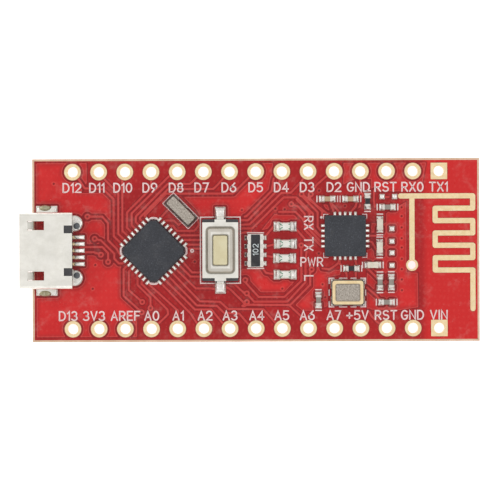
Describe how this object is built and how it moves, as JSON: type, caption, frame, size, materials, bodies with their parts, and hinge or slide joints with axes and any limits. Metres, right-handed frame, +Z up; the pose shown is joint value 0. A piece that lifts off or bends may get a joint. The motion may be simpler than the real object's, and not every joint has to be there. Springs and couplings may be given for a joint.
{
  "type": "microcontroller board",
  "caption": "Small double-row microcontroller board with a micro-USB socket, reset switch, radio circuit and printed meander antenna.",
  "frame": {"origin": "centre of the 2 x 15 header-hole grid on the board's bare underside", "axes": "+X along the board, away from the USB socket; +Y across it, towards the row that starts at D12; +Z up out of the component side"},
  "size_m": [0.0445, 0.0178, 0.0057],
  "materials": {
    "laminate": "matte",
    "solder_mask": "gloss",
    "gold_plating": "satin",
    "tinned_land": "satin",
    "tinned_steel": "satin",
    "black_nylon": "matte",
    "button_resin": "satin",
    "spring_steel": "satin",
    "mould_compound": "matte",
    "silicon": "gloss",
    "alumina": "matte",
    "crystal_tray": "matte",
    "nickel_lid": "satin",
    "quartz": "gloss",
    "clear_epoxy": "gloss",
    "led_board": "matte",
    "tan_ceramic": "satin",
    "grey_ceramic": "satin",
    "pale_ceramic": "satin",
    "black_film": "gloss",
    "orange_mould": "matte"
  },
  "bodies": {
    "board": {"pcb_core": "laminate", "solder_mask_top": "solder_mask", "solder_mask_bottom": "solder_mask", "header_pads_digital": "gold_plating", "header_pads_analog": "gold_plating", "smd_pads_top": "tinned_land", "smd_pads_bottom": "tinned_land", "antenna_strip": "gold_plating", "antenna_ground_via": "gold_plating", "usb_shell": "tinned_steel", "usb_insulator": "black_nylon", "usb_contacts": "gold_plating", "reset_switch_base": "black_nylon", "reset_switch_cover": "tinned_steel", "reset_switch_dome": "spring_steel", "reset_switch_terminals": "tinned_steel", "mcu_body": "mould_compound", "mcu_leadframe": "tinned_land", "mcu_die": "silicon", "radio_body": "mould_compound", "radio_leadframe": "tinned_land", "radio_die": "silicon", "crystal_base": "crystal_tray", "crystal_seal_ring": "gold_plating", "crystal_lid": "nickel_lid", "crystal_quartz_blank": "quartz", "resonator_base": "alumina", "resonator_lid": "nickel_lid", "resonator_element": "alumina", "led_bases": "led_board", "led_lenses": "clear_epoxy", "led_chips": "silicon", "led_terminals": "tinned_land", "resistor_array_substrate": "alumina", "resistor_array_coat": "black_film", "resistor_array_terminals": "tinned_land", "capacitor_bodies_tan": "tan_ceramic", "capacitor_bodies_grey": "grey_ceramic", "capacitor_terminals_top": "tinned_land", "resistor_bodies_top": "alumina", "resistor_coats_top": "black_film", "resistor_terminals_top": "tinned_land", "inductor_bodies": "pale_ceramic", "inductor_terminals": "tinned_land", "bridge_body": "mould_compound", "bridge_leads": "tinned_land", "power_body": "mould_compound", "power_leads": "tinned_land", "supply_body": "mould_compound", "supply_leads": "tinned_land", "diode_body": "mould_compound", "diode_leads": "tinned_land", "tantalum_bodies": "orange_mould", "tantalum_leads": "tinned_land", "capacitor_bodies_bottom": "tan_ceramic", "capacitor_terminals_bottom": "tinned_land", "resistor_bodies_bottom": "black_film", "resistor_terminals_bottom": "tinned_land"},
    "reset_button": {"reset_switch_button": "button_resin"}
  },
  "joints": [
    {"name": "reset_button_press", "type": "slide", "parent": "board", "child": "reset_button", "axis": [0, 0, -1], "range_m": [0, 0.00025], "stiffness_N_per_m": 2000, "deforming": ["reset_switch_dome"]}
  ]
}
